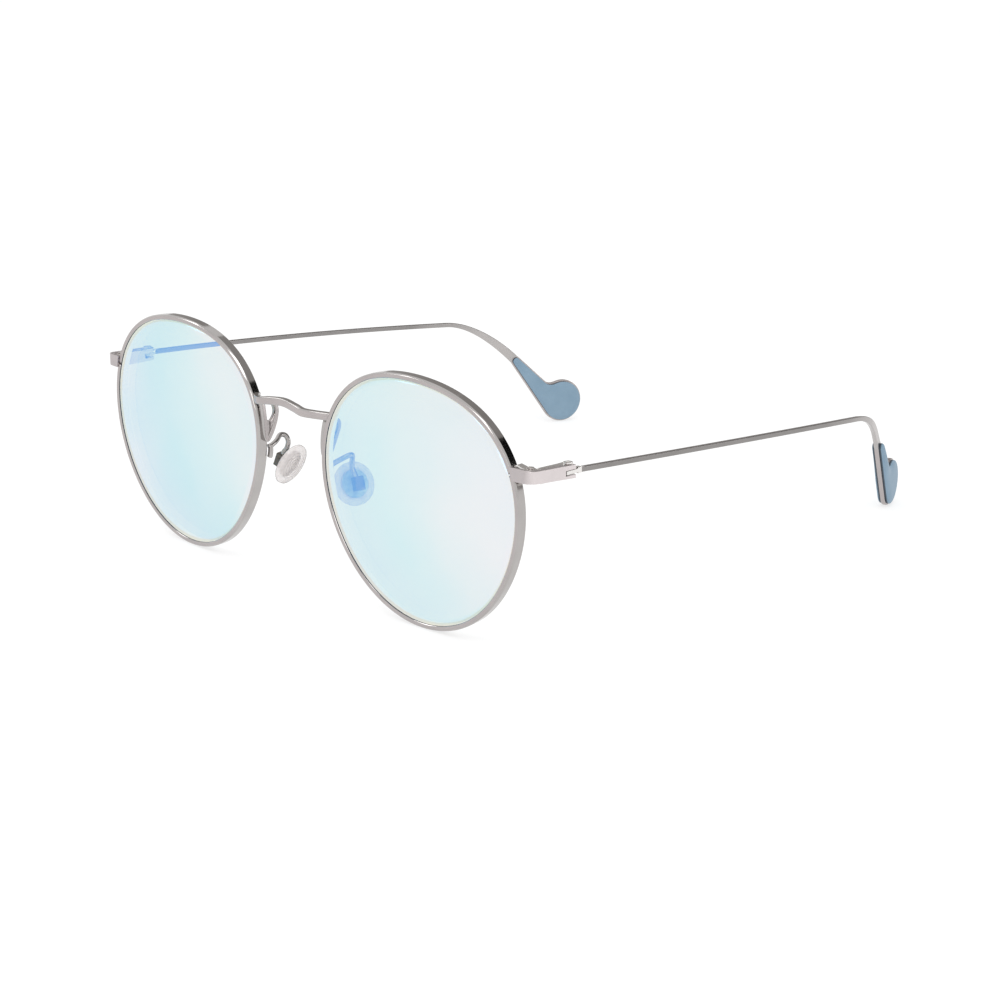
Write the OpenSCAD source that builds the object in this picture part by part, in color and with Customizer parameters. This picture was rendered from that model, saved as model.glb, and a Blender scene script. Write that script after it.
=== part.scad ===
// Panto wire-frame glasses with blue-tinted lenses.
// The wearer looks along -Y, the wearer's left is +X, and the glasses stand on z = 0
// on the bottoms of both eyewires and both temple tips.
// Front-frame coordinates have y = 0 at the middle of the eyewires' depth;
// place() then moves everything so that the middle of the whole depth is at y = 0.

/* [Lenses and eyewires] */
// Distance between the two lens centres
lens_spacing = 71.1; // [70.6:0.1:71.6]
// Mean outer radius of an eyewire
eyewire_r = 25.6; // [25.3:0.1:25.9]
// Height of the lens centres above the surface
lens_height = 25.88; // [25.6:0.02:26.2]
// Front-to-back depth of an eyewire
eyewire_depth = 2.2; // [2:0.1:2.4]
// Radial thickness of an eyewire
eyewire_wall = 1.05; // [1:0.05:1.15]
// Radius of the lens's spherical curve
base_curve_r = 100; // [90:1:120]
// Lens thickness
lens_thick = 1.9; // [1.8:0.05:1.95]
// Wrap of each lens about the vertical, in degrees
wrap_angle = 2.7; // [2.4:0.1:3]
// Forward lean of the lenses' tops, in degrees
tilt_angle = 1.65; // [1.4:0.05:1.9]

/* [Bridge and nose braces] */
// Height of the bridge strip's middle
bridge_z = 38.8; // [38.6:0.1:39]
// How far the strip's two bends stand in front of the eyewires' middle
bridge_reach = 4.1; // [3.9:0.1:4.3]
// Height of the strip's section
bridge_tall = 1.55; // [1.4:0.05:1.65]
// Depth of the strip's section
bridge_deep = 1.35; // [1.2:0.05:1.45]
// In-plane thickness of a nose brace's strip
brace_thick = 0.95; // [0.8:0.05:1]
// Width of a nose brace's strip across the frame
brace_wide = 1.2; // [1.1:0.05:1.3]

/* [Nose pads] */
// Diameter of a pad arm's wire
arm_d = 1.05; // [0.95:0.05:1.1]
// Pad radius along the nose
pad_r = 4.45; // [4.2:0.05:4.6]
// Pad thickness
pad_thick = 1.6; // [1.5:0.1:1.7]
// Tilt of a pad's face from upright, in degrees
pad_frontal = 21.7; // [20:0.1:23]
// Turn of a pad's face from straight sideways, in degrees
pad_splay = 12; // [10:0.5:14]

/* [End pieces and hinges] */
// Thickness of the folded end-piece strip
end_wall = 1.15; // [1.1:0.05:1.2]
// Radius of a hinge screw's shank
hinge_pin_r = 0.5; // [0.48:0.01:0.52]
// Radial running clearance round a hinge screw
pin_gap = 0.05; // [0.04:0.01:0.07]
// Height of the slot that the temple's tongue turns in
slot_tall = 1; // [0.98:0.01:1.05]

/* [Temples] */
// Height of a temple wire's section
wire_tall = 1.05; // [1:0.05:1.1]
// Width of a temple wire's section
wire_wide = 0.85; // [0.8:0.05:0.9]
// Y position where the wire starts to bend down
bend_y = 101; // [100:0.5:102]
// Outward bow of the wire at its middle
bow_out = 1.4; // [1.2:0.1:1.6]
// Toe-in of the temple tips, in degrees
toe_in = 23; // [22:0.5:24]
// Radius of the round end of a tip's soft pad
bulb_r = 5; // [4.9:0.05:5.05]
// Metal shown all round a tip's soft pad
core_margin = 0.35; // [0.3:0.05:0.4]
// Thickness of the metal core of a tip
core_thick = 1; // [0.95:0.05:1.1]
// Greatest thickness of the outer soft pad on a tip
tip_pad_thick = 1.15; // [1.1:0.05:1.2]

/* [Hidden] */
$fn = 64;

steel = "silver";
satin = "lightgray";
soft_blue = "lightsteelblue";
clear = "whitesmoke";
tint = "lightcyan";

// Eyewire outline: how much wider than tall, leaning, full at the top corners, squared
oval_k = 0.016;
lean_k = -0.013;
brow_k = 0.031;
square_k = -0.005;
// Groove in the eyewire and the bevel of the lens that sits in it
groove_deep = 0.5;
groove_half = 0.45;
bevel_gap = 0.05;
ring_steps = 96;
lens_steps = 72;
// Angle of the eyewire's split, at the closing blocks, and the width of the cut
split_angle = 22.4;
split_half = 0.25;
// Blocks and screw that close the eyewire
close_xy = [62.2, 2.4];
close_r = 1.2;
close_mid_z = 35.86;
close_gap = 0.05;
close_top_z = 36.88;
close_bottom_z = 34.72;
// How far the upper block rises beside the eyewire
close_rise = 0.45;
close_screw_r = 0.45;
close_head_r = 0.72;
close_head_tall = 0.35;
// End piece: plan corner, end of the side, and heights along it
corner_c = [62.25, 2.3];
corner_r = 2.3;
end_front = [59.35, -0.45];
end_back = [65, 11.5];
// Hinge axis, knuckles and tongue
hinge_xy = [63.75, 10.65];
hinge_z = 35.18;
knuckle_r = 1.3;
tongue_r = 1.2;
tongue_top_gap = 0.06;
tongue_bottom_gap = 0.24;
hinge_top_z = 36.65;
hinge_bottom_z = 34;
hinge_head_r = 0.9;
hinge_head_tall = 0.3;
tail_y = [1.45, 2.4];
tail_z = [34.68, 35.82];
tail_x = [0.3, 1.28];
// Screwdriver slots
drive_wide = 0.22;
drive_deep = 0.15;
// Temple wire
wire_start = [64.55, 13, 35.25];
wire_end_x = 62.56;
wire_end_z = 27.8;
bow_up = 0.37;
bend_pull = 7.5;
// Temple tip: outline in its own plane, x away from the bend and y up
tip_at = [56.87, 116.83];
stem_c = [2.2, 16.85];
stem_r = 0.85;
bulb_x = 14.98;
top_edge_angle = -43.3;
notch_r = 3;
// Soft tip pads: height at the edge, how far in the edge's rounding reaches, and the greatest
// height over the stem and over the bulb, for the outer and the inner pad
tip_pad_edge = 0.45;
tip_pad_reach = 2.2;
tip_pad_stem = [1.35, 0.7];
tip_pad_slack = [0, 0.1];
// Nose pads and what holds them, in the pad's own frame: x outboard, z up along the pad
pad_at = [9.65, 6.1, 22.03];
pad_back = 0.65;
insert_r = 2.9;
insert_thick = 0.5;
tab_thick = 0.9;
pivot_x = 2.3;
tab_r = 0.65;
tab_room = 0.1;
box_shift = -0.3;
box_y = 1.9;
box_z = [-1.65, 1.15];
box_x = [1.6, 3.4];
box_wall = 0.45;
pad_screw_r = 0.4;
pad_head_r = 0.65;
pad_head_tall = 0.3;

bulb_z = bulb_r + core_margin;
front_y = -bridge_reach - bridge_deep / 2;
back_y = tip_at[1] + (bulb_x + bulb_z) * cos(toe_in) + core_thick / 2 * sin(toe_in);
depth_mid = (front_y + back_y) / 2;

function unit(v) = v / norm(v);
function lerp(a, b, t) = a + (b - a) * t;
function square_of(v) = v * v;
function polar(r, a) = [r * cos(a), r * sin(a)];

// Outer outline of the eyewire, at angle a up from the temple side
function outline_r(a) =
  eyewire_r * (1 + oval_k * cos(2 * a) + lean_k * sin(2 * a) + brow_k * sin(3 * a)
  + square_k * cos(4 * a));

// Depth of the spherical curve at radius r from the lens axis
function sag(r) = (r * r - eyewire_r * eyewire_r) / (2 * base_curve_r);

// Point of the left lens at radius r, angle a and depth w, in front-frame coordinates
function lens_point(r, a, w) =
  let (
    u = r * cos(a),
    v = r * sin(a),
    y1 = u * sin(wrap_angle) + w * cos(wrap_angle)
  )
  [
    lens_spacing / 2 + u * cos(wrap_angle) - w * sin(wrap_angle),
    y1 * cos(tilt_angle) - v * sin(tilt_angle),
    y1 * sin(tilt_angle) + v * cos(tilt_angle) + lens_height
  ];

// Point next to the eyewire: off outwards from its outer face and w behind its middle
function wire_point(a, off, w) =
  lens_point(outline_r(a) + off, a, sag(outline_r(a)) + w);

// X position of the eyewire's nasal face at height z
function nasal_x(z) =
  let (
    v = z - lens_height,
    a = 180 - asin(v / (eyewire_r * 1.02))
  )
  wire_point(a, 0, 0)[0];

// X position of a nose brace at height z
function brace_x(z) = nasal_x(z) - 0.3 - 0.095 * (z - 29.5);

// Rounded rectangle, two points to a corner
function round_rect(w, h, c) =
  let (x = w / 2, y = h / 2)
  [
    [x, c - y], [x, y - c], [x - c * 0.3, y - c * 0.3], [x - c, y],
    [c - x, y], [c * 0.3 - x, y - c * 0.3], [-x, y - c], [-x, c - y],
    [c * 0.3 - x, c * 0.3 - y], [c - x, -y], [x - c, -y], [x - c * 0.3, c * 0.3 - y]
  ];

function disc_shape(r, n) = [for (i = [0:n - 1]) polar(r, 360 * i / n)];

// Smooth curve through the points p, k steps to each stretch
function blend_at(a, b, c, d, t) =
  0.5 * (2 * b + (c - a) * t + (2 * a - 5 * b + 4 * c - d) * t * t
  + (3 * b - a - 3 * c + d) * t * t * t);
function smooth(p, k) =
  let (n = len(p))
  concat(
    [for (i = [0:n - 2], j = [0:k - 1])
      blend_at(p[max(i - 1, 0)], p[i], p[i + 1], p[min(i + 2, n - 1)], j / k)],
    [p[n - 1]]
  );
function smooth_loop(p, k) =
  let (n = len(p))
  [for (i = [0:n - 1], j = [0:k - 1])
    blend_at(p[(i + n - 1) % n], p[i], p[(i + 1) % n], p[(i + 2) % n], j / k)];

// Rings of a section carried along a path; ref stays beside the section's second axis
function section_at(p, t, shape, ref) =
  let (s = unit(cross(t, ref)), u = cross(s, t))
  [for (q = shape) p + q[0] * s + q[1] * u];
function sweep(path, shape, ref) =
  let (n = len(path))
  [for (i = [0:n - 1])
    section_at(path[i], unit(path[min(i + 1, n - 1)] - path[max(i - 1, 0)]), shape, ref)];
function sweep_loop(path, shape, ref) =
  let (n = len(path))
  [for (i = [0:n - 1])
    section_at(path[i], unit(path[(i + 1) % n] - path[(i + n - 1) % n]), shape, ref)];

// Closed surface through a list of rings; each ring runs anticlockwise, seen along the path
module skin(rings, loop = false) {
  m = len(rings[0]);
  n = len(rings);
  sides = [
    for (i = [0:loop ? n - 1 : n - 2], j = [0:m - 1])
    let (
      a = i * m + j,
      b = i * m + (j + 1) % m,
      c = ((i + 1) % n) * m + (j + 1) % m,
      d = ((i + 1) % n) * m + j
    )
    each [[a, b, c], [a, c, d]]
  ];
  caps = loop ? [] : [
    [for (j = [m - 1:-1:0]) j],
    [for (j = [0:m - 1]) (n - 1) * m + j]
  ];
  polyhedron([for (r = rings) each r], concat(sides, caps), convexity = 8);
}

// Puts a piece drawn in front-frame coordinates on the left, or mirrored on the right
module place(side) {
  translate([0, -depth_mid, 0])
    mirror([side < 0 ? 1 : 0, 0, 0])
      children();
}

// Screw along +Z from z0 to z1 with a slotted head on top
module screw(z0, z1, r, head_r, head_tall) {
  translate([0, 0, z0]) cylinder(r = r, h = z1 - z0 + head_tall / 2);
  difference() {
    translate([0, 0, z1]) cylinder(r = head_r, h = head_tall);
    translate([-head_r - 1, -drive_wide / 2, z1 + head_tall - drive_deep])
      cube([2 * head_r + 2, drive_wide, drive_deep + 1]);
  }
}

// The space that the eyewire takes up beside the end piece
module eyewire_space() {
  p = wire_point(split_angle, 0, 0);
  translate(p)
    rotate([tilt_angle, 0, wrap_angle])
      rotate([0, -split_angle, 0])
        translate([-6, -eyewire_depth / 2, -5])
          cube([6, 8, 10]);
}

module eyewire(side) {
  d = eyewire_depth / 2;
  t = eyewire_wall;
  section = [
    [0, -d * 0.68], [-0.06, -d * 0.9], [-0.25, -d], [0.15 - t, -d], [-t, 0.15 - d],
    [-t, -groove_half], [groove_deep - t, 0], [-t, groove_half],
    [-t, d - 0.15], [0.15 - t, d], [-0.25, d], [-0.06, d * 0.9], [0, d * 0.68]
  ];
  from = split_angle + split_half;
  sweep_angle = 360 - 2 * split_half;
  rings = [
    for (i = [0:ring_steps])
    let (a = from + sweep_angle * i / ring_steps)
    [for (q = section) wire_point(a, q[0], q[1])]
  ];
  color(satin) place(side) skin(rings);
}

module lens(side) {
  shoulder = eyewire_wall + bevel_gap;
  apex = eyewire_wall - groove_deep + bevel_gap;
  front_w = 0.3 - eyewire_depth / 2 + shoulder * eyewire_r / base_curve_r;
  hub_r = 2;
  spread = [0, 0.25, 0.5, 0.75, 1];
  function face(f, w) = [
    for (j = [0:lens_steps - 1])
    let (
      a = 360 * j / lens_steps,
      r = lerp(hub_r, outline_r(a) - shoulder, f)
    )
    lens_point(r, a, sag(r) + w)
  ];
  function edge(off, w) = [for (j = [0:lens_steps - 1]) wire_point(360 * j / lens_steps, off, w)];
  rings = concat(
    [for (f = spread) face(f, front_w)],
    [edge(-shoulder, -groove_half), edge(-apex, 0), edge(-shoulder, groove_half)],
    [for (k = [4:-1:0]) face(spread[k], front_w + lens_thick)]
  );
  color(tint, 0.5) place(side) skin(rings);
}

module bridge() {
  // Left half, from the middle: x, how far behind the bends, how far below the middle
  half = [[0, 0.6, 0], [4, 0.15, 0.3], [6.5, 0, 0.7], [8.5, 0.9, 0.9], [10, 2.2, 1.15], [11.1, 3.1, 1.3]];
  last = len(half) - 1;
  route = [
    for (i = [-last:last])
    let (q = half[abs(i)])
    [sign(i) * q[0], q[1] - bridge_reach, bridge_z - q[2]]
  ];
  shape = round_rect(bridge_deep, bridge_tall, 0.3);
  color(satin) place(1) skin(sweep(smooth(route, 5), shape, [0, 0, 1]));
}

// D-shaped loop behind the eyewire's nasal face, under the end of the bridge
module nose_brace(side) {
  // Depth and height round the loop
  outline = [
    [-0.9, 36.3], [0.4, 36.5], [1.8, 35.9], [2.2, 34.6], [1.8, 33], [1.05, 31.2],
    [0.2, 29.6], [-0.6, 28.75], [-1.05, 30.2], [-1.1, 33], [-1.05, 35.2]
  ];
  loop = smooth_loop(
    [for (q = outline) [brace_x(q[1]), q[0], q[1]]],
    4
  );
  shape = round_rect(brace_thick, brace_wide, 0.25);
  // Depth, foot and top of the solder that fills the loop's narrow end
  fill = [
    [-1, 29.2, 33.6], [-0.5, 29, 32.9], [0.1, 29.6, 32.4], [0.6, 30.5, 32.6],
    [1.1, 31.5, 33.1], [1.6, 32.8, 33.8]
  ];
  half = brace_wide / 2 - 0.15;
  color(satin) place(side) {
    skin(sweep_loop(loop, shape, [1, 0, 0]), loop = true);
    skin([
      for (q = fill)
      [
        [brace_x(q[1]) + half, q[0], q[1]], [brace_x(q[2]) + half, q[0], q[2]],
        [brace_x(q[2]) - half, q[0], q[2]], [brace_x(q[1]) - half, q[0], q[1]]
      ]
    ]);
  }
}

// Gooseneck wire, with a foot on the eyewire's nasal face, that carries the pad box
module pad_arm(side) {
  route = [
    [9.4, 0.1, 27.05], [9.45, 1, 27.25], [9.8, 2.5, 27.8], [10.55, 4.1, 28.5],
    [10.3, 5.3, 28.2], [9.85, 5.6, 27], [10.1, 5.4, 25.6], [10.85, 5.25, 24.7],
    [11.33, 5.28, 23.85]
  ];
  foot = [[9.35, 0.5, 27.4], [9.3, 0.5, 26.4], [9.36, 0.45, 25.5], [9.5, 0.35, 24.8]];
  color(steel) place(side) {
    skin(sweep(smooth(route, 5), disc_shape(arm_d / 2, 10), [1, 0, 0]));
    skin(sweep(smooth(foot, 3), round_rect(0.8, 1, 0.25), [1, 0, 0]));
  }
}

module pad_frame() {
  translate(pad_at) rotate([0, -pad_frontal, -pad_splay]) children();
}

// Channel with two cheeks and a closed top, which holds the pad's tab and screw
module pad_box(side) {
  color(steel) place(side) pad_frame() translate([0, box_shift, 0]) difference() {
    translate([box_x[0], -box_y / 2, box_z[0]])
      cube([box_x[1] - box_x[0], box_y, box_z[1] - box_z[0]]);
    translate([box_x[0] - 1, box_wall - box_y / 2, box_z[0] - 1])
      cube([
        pivot_x + tab_r + tab_room - box_x[0] + 1,
        box_y - 2 * box_wall,
        tab_r + tab_room - box_z[0] + 1
      ]);
    pad_bore();
  }
}

module pad_bore() {
  translate([pivot_x, -box_y, 0]) rotate([-90, 0, 0])
    cylinder(r = pad_screw_r + pin_gap, h = 2 * box_y);
}

module pad_screw(side) {
  color(steel) place(side) pad_frame()
    translate([pivot_x, box_shift, 0]) rotate([-90, 0, 0])
      screw(-box_y / 2 - 0.1, box_y / 2, pad_screw_r, pad_head_r, pad_head_tall);
}

// Plate moulded into the pad, with the bored tab that the pad rocks on
module pad_insert(side) {
  color(clear) place(side) pad_frame() difference() {
    union() {
      translate([pad_back - insert_thick, 0, 0]) rotate([0, 90, 0])
        cylinder(r = insert_r, h = insert_thick);
      translate([pad_back - insert_thick / 2, box_shift - tab_thick / 2, -tab_r])
        cube([pivot_x - pad_back + insert_thick / 2, tab_thick, 2 * tab_r]);
      translate([pivot_x, box_shift - tab_thick / 2, 0]) rotate([-90, 0, 0])
        cylinder(r = tab_r, h = tab_thick);
    }
    translate([0, box_shift, 0]) pad_bore();
  }
}

// Soft round pad: a crowned disc with the insert let into its back
module nose_pad(side) {
  crown = 0.3;
  rim = 0.7;
  color(clear, 0.6) place(side) pad_frame() difference() {
    translate([pad_back, 0, 0]) rotate([0, -90, 0])
      rotate_extrude() polygon([
        [0, 0], [pad_r - 0.35, 0], [pad_r, 0.4], [pad_r, rim],
        [pad_r - 0.3, pad_thick - crown - 0.1], [pad_r * 0.75, pad_thick - 0.1], [0, pad_thick]
      ]);
    translate([pad_back - insert_thick - 0.03, 0, 0]) rotate([0, 90, 0])
      cylinder(r = insert_r + 0.03, h = insert_thick + 1);
  }
}

// Strip folded round the corner, slotted at the back for the temple's tongue
module end_piece(side) {
  inner_r = corner_r - end_wall;
  front_turn = 8.8;
  side_turn = 2.8;
  plan = concat(
    [end_front],
    [for (i = [0:8]) corner_c + polar(corner_r, lerp(front_turn - 90, -side_turn, i / 8))],
    [end_back, end_back - [end_wall, 0]],
    [for (i = [0:8]) corner_c + polar(inner_r, lerp(-side_turn, front_turn - 90, i / 8))],
    [end_front + polar(end_wall, 90 + front_turn)]
  );
  side_view = [
    [-2, 34.68], [0.97, 34.68], [end_back[1] + 1, 33.88], [end_back[1] + 1, 36.45],
    [0.97, 37.08], [-2, 37.62]
  ];
  front_view = [
    [60.05, 34.74], [63.4, 34.66], [64.2, 33], [66, 33],
    [66, 38], [64.2, 37.12], [59.33, 37.66]
  ];
  color(satin) place(side) difference() {
    intersection() {
      translate([0, 0, 30]) linear_extrude(10) polygon(plan);
      translate([58, 0, 0]) rotate([90, 0, 90]) linear_extrude(10) polygon(side_view);
      translate([0, 20, 0]) rotate([90, 0, 0]) linear_extrude(30) polygon(front_view);
    }
    eyewire_space();
    translate([60, end_back[1] - 2.5, hinge_z - slot_tall / 2]) cube([8, 8, slot_tall]);
  }
}

// Half of the eyewire's closing joint, from z0 to z1, rising towards the eyewire
module closing_block(side, z0, z1, rise) {
  color(steel) place(side) difference() {
    union() {
      translate([close_xy[0], close_xy[1], z0]) cylinder(r = close_r, h = z1 - z0);
      translate([0, 3.15, 0]) rotate([90, 0, 0]) linear_extrude(1.9)
        polygon([[58.9, z0], [close_xy[0], z0], [close_xy[0], z1], [61.3, z1], [58.9, z1 + rise]]);
    }
    eyewire_space();
    translate([close_xy[0], close_xy[1], z0 - 1]) cylinder(r = close_screw_r + pin_gap, h = z1 - z0 + 2);
  }
}

module closing_screw(side) {
  color(steel) place(side) translate([close_xy[0], close_xy[1], 0])
    screw(close_bottom_z - 0.1, close_top_z, close_screw_r, close_head_r, close_head_tall);
}

// Two knuckles on one block, brazed inside the end piece
module hinge_fork(side) {
  wall_x = end_back[0] - end_wall;
  block = [
    [wall_x - 0.35, 3.8], [wall_x - 0.02, hinge_xy[1] + 0.9], [wall_x - 0.6, hinge_xy[1] + 0.9],
    [hinge_xy[0] - knuckle_r, hinge_xy[1]], [hinge_xy[0] - knuckle_r, 8.3], [62.5, 3.8]
  ];
  color(steel) place(side) difference() {
    union() {
      translate([0, 0, hinge_bottom_z]) linear_extrude(hinge_top_z - hinge_bottom_z) polygon(block);
      intersection() {
        translate([0, 0, hinge_z]) linear_extrude(hinge_top_z - hinge_z + 1) polygon(block);
        translate([60, 0, 0]) rotate([90, 0, 90]) linear_extrude(10)
          polygon([[3, hinge_z], [9, hinge_z], [9, hinge_top_z], [3, hinge_top_z + 0.24]]);
      }
      translate([hinge_xy[0], hinge_xy[1], hinge_bottom_z]) intersection() {
        cylinder(r = knuckle_r, h = hinge_top_z - hinge_bottom_z);
        translate([-5, -5, -1]) cube([5 + wall_x - hinge_xy[0] - 0.02, 10, 10]);
      }
    }
    translate([60, 9, hinge_z - slot_tall / 2]) cube([8, 8, slot_tall]);
    translate([hinge_xy[0], hinge_xy[1], 30]) cylinder(r = hinge_pin_r + pin_gap, h = 10);
  }
}

module hinge_screw(side) {
  color(steel) place(side) translate([hinge_xy[0], hinge_xy[1], 0])
    screw(hinge_bottom_z + 0.1, hinge_top_z, hinge_pin_r, hinge_head_r, hinge_head_tall);
}

// Bored tongue and tail brazed to the front end of the temple wire
module hinge_tongue(side) {
  z0 = hinge_z - slot_tall / 2 + tongue_bottom_gap;
  tall = slot_tall - tongue_top_gap - tongue_bottom_gap;
  in_x = -0.35;
  out_x = 1.24;
  color(steel) place(side) translate([hinge_xy[0], hinge_xy[1], 0]) difference() {
    union() {
      translate([0, 0, z0]) cylinder(r = tongue_r, h = tall);
      translate([in_x, 0, z0]) cube([tail_x[1] - in_x, tail_y[0] + 0.3, tall]);
      translate([0, -1.55, z0]) cube([out_x, 1.6, tall]);
      translate([tail_x[0], tail_y[0], tail_z[0]])
        cube([tail_x[1] - tail_x[0], tail_y[1] - tail_y[0], tail_z[1] - tail_z[0]]);
    }
    translate([0, 0, 30]) cylinder(r = hinge_pin_r + pin_gap, h = 10);
  }
}

function wire_straight(s) = [
  lerp(wire_start[0], wire_end_x, s) + bow_out * 4 * s * (1 - s),
  lerp(wire_start[1], bend_y, s),
  lerp(wire_start[2], wire_end_z, s) + bow_up * 4 * s * (1 - s)
];

function tip_dir(x, z) = [-x * sin(toe_in), x * cos(toe_in), z];

// Curve from the end of the straight stretch down into the tip's stem
function wire_bend(t) =
  let (
    a = wire_straight(1),
    into = unit(a - wire_straight(0.97)),
    d = [tip_at[0], tip_at[1], 0] + tip_dir(stem_c[0] + 0.3, stem_c[1] - 0.3),
    down = unit(tip_dir(0.69, -0.72)),
    b = a + bend_pull * into,
    c = d - bend_pull * down,
    k = 1 - t
  )
  k * k * k * a + 3 * k * k * t * b + 3 * k * t * t * c + t * t * t * d;

module temple(side) {
  straight_steps = 24;
  bend_steps = 20;
  path = concat(
    [for (i = [0:straight_steps - 1]) wire_straight(i / straight_steps)],
    [for (i = [0:bend_steps]) wire_bend(i / bend_steps)]
  );
  last = len(path) - 1;
  stem_tall = 2 * (stem_r + core_margin) - 0.1;
  rings = [
    for (i = [0:last])
    let (
      t = max(i - straight_steps, 0) / bend_steps,
      ease = t * t * (3 - 2 * t),
      tall = lerp(wire_tall, stem_tall, ease),
      wide = lerp(wire_wide, core_thick, ease),
      along = unit(path[min(i + 1, last)] - path[max(i - 1, 0)])
    )
    section_at(path[i], along, round_rect(wide, tall, 0.25), [0, 0, 1])
  ];
  color(satin) place(side) {
    skin(rings);
    tip_plane() linear_extrude(core_thick, center = true) tip_outline(core_margin);
  }
}

module tip_plane() {
  translate([tip_at[0], tip_at[1], 0]) rotate([0, 0, 90 + toe_in]) rotate([90, 0, 0]) children();
}

// Stem and round bulb joined by two edges, with a rounded notch above the bulb
module tip_outline(grow) {
  r0 = stem_r + grow;
  r1 = bulb_r + grow;
  rf = notch_r - grow;
  bulb_c = [bulb_x, bulb_z];
  run = bulb_c - stem_c;
  front_angle = atan2(run[1], run[0]) - asin((r1 - r0) / norm(run));
  front_out = polar(1, front_angle - 90);
  top_out = polar(1, top_edge_angle + 90);
  along = polar(1, top_edge_angle);
  q = stem_c + (r0 + rf) * top_out - bulb_c;
  reach = -q * along - sqrt(square_of(q * along) - q * q + square_of(r1 + rf));
  notch_c = stem_c + (r0 + rf) * top_out + reach * along;
  translate(bulb_c) circle(r = r1);
  translate(stem_c) circle(r = r0);
  difference() {
    polygon([
      stem_c + r0 * front_out, stem_c + r0 * top_out, notch_c - rf * top_out, notch_c,
      bulb_c + r1 * unit(notch_c - bulb_c), bulb_c, bulb_c + r1 * front_out
    ]);
    translate(notch_c) circle(r = rf);
  }
}

// Soft pad on one face of the core: 1 outwards, -1 inwards; it swells over the bulb
module tip_pad(side, face) {
  stations = 28;
  across = 10;
  run = [bulb_x, bulb_z] - stem_c;
  length = norm(run);
  axis = run / length;
  lean = top_edge_angle - atan2(run[1], run[0]);
  top_out = polar(1, lean + 90);
  top_along = polar(1, lean);
  q = (stem_r + notch_r) * top_out - [length, 0];
  reach = -q * top_along
    - sqrt(square_of(q * top_along) - q * q + square_of(bulb_r + notch_r));
  notch = (stem_r + notch_r) * top_out + reach * top_along;
  meet = length + bulb_r * unit(notch - [length, 0])[0];
  front_angle = asin((bulb_r - stem_r) / length);
  which = face > 0 ? 0 : 1;

  // Width above and below the line from the stem to the bulb
  function arc(r, d) = sqrt(max(r * r - d * d, 0));
  function above(a) =
    a < stem_r * top_out[0] ? arc(stem_r, a)
    : a < notch[0] - notch_r * top_out[0] ? (stem_r - a * top_out[0]) / top_out[1]
    : a < meet ? notch[1] - arc(notch_r, a - notch[0])
    : arc(bulb_r, a - length);
  function below(a) =
    a < -stem_r * sin(front_angle) ? arc(stem_r, a)
    : a < length - bulb_r * sin(front_angle) ? (stem_r + a * sin(front_angle)) / cos(front_angle)
    : arc(bulb_r, a - length);
  function inside(a, b) = max(
    a > 0 && a < meet ? min(above(a) - b, b + below(a)) : 0,
    bulb_r - norm([a - length, b]),
    stem_r - norm([a, b])
  );
  function height(a, b) =
    let (
      along = max(min((a - 3) / 8, 1), 0),
      full = lerp(tip_pad_stem[which], tip_pad_thick - tip_pad_slack[which], along),
      near = 1 - min(inside(a, b) / tip_pad_reach, 1)
    )
    tip_pad_edge + (full - tip_pad_edge) * sqrt(max(1 - near * near, 0));
  function at(a, b, h) = let (p = stem_c + a * axis + b * [-axis[1], axis[0]]) [p[0], p[1], h];

  rings = [
    for (i = [0:stations])
    let (
      a = lerp(-stem_r, length + bulb_r, 0.5 - 0.5 * cos(lerp(4, 176, i / stations))),
      up = above(a),
      down = below(a)
    )
    concat(
      [at(a, up, 0)],
      [
        for (j = [0:across])
        let (b = lerp(up, -down, 0.5 - 0.5 * cos(180 * j / across)))
        at(a, b, height(a, b))
      ],
      [at(a, -down, 0)]
    )
  ];
  color(soft_blue) place(side) tip_plane() mirror([0, 0, face < 0 ? 1 : 0])
    translate([0, 0, core_thick / 2]) skin(rings);
}

eyewire(1);  // eyewire_left
eyewire(-1);  // eyewire_right
lens(1);  // lens_left
lens(-1);  // lens_right
bridge();
nose_brace(1);  // nose_brace_left
nose_brace(-1);  // nose_brace_right
pad_arm(1);  // pad_arm_left
pad_arm(-1);  // pad_arm_right
pad_box(1);  // pad_box_left
pad_box(-1);  // pad_box_right
pad_screw(1);  // pad_screw_left
pad_screw(-1);  // pad_screw_right
pad_insert(1);  // pad_insert_left
pad_insert(-1);  // pad_insert_right
nose_pad(1);  // nose_pad_left
nose_pad(-1);  // nose_pad_right
end_piece(1);  // end_piece_left
end_piece(-1);  // end_piece_right
closing_block(1, close_mid_z + close_gap, close_top_z, close_rise);  // closing_block_upper_left
closing_block(-1, close_mid_z + close_gap, close_top_z, close_rise);  // closing_block_upper_right
closing_block(1, close_bottom_z, close_mid_z - close_gap, 0);  // closing_block_lower_left
closing_block(-1, close_bottom_z, close_mid_z - close_gap, 0);  // closing_block_lower_right
closing_screw(1);  // closing_screw_left
closing_screw(-1);  // closing_screw_right
hinge_fork(1);  // hinge_fork_left
hinge_fork(-1);  // hinge_fork_right
hinge_screw(1);  // hinge_screw_left
hinge_screw(-1);  // hinge_screw_right
hinge_tongue(1);  // hinge_tongue_left
hinge_tongue(-1);  // hinge_tongue_right
temple(1);  // temple_left
temple(-1);  // temple_right
tip_pad(1, 1);  // tip_pad_outer_left
tip_pad(-1, 1);  // tip_pad_outer_right
tip_pad(1, -1);  // tip_pad_inner_left
tip_pad(-1, -1);  // tip_pad_inner_right
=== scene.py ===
import math

import bmesh
import bpy
from mathutils import Matrix, Vector


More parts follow.
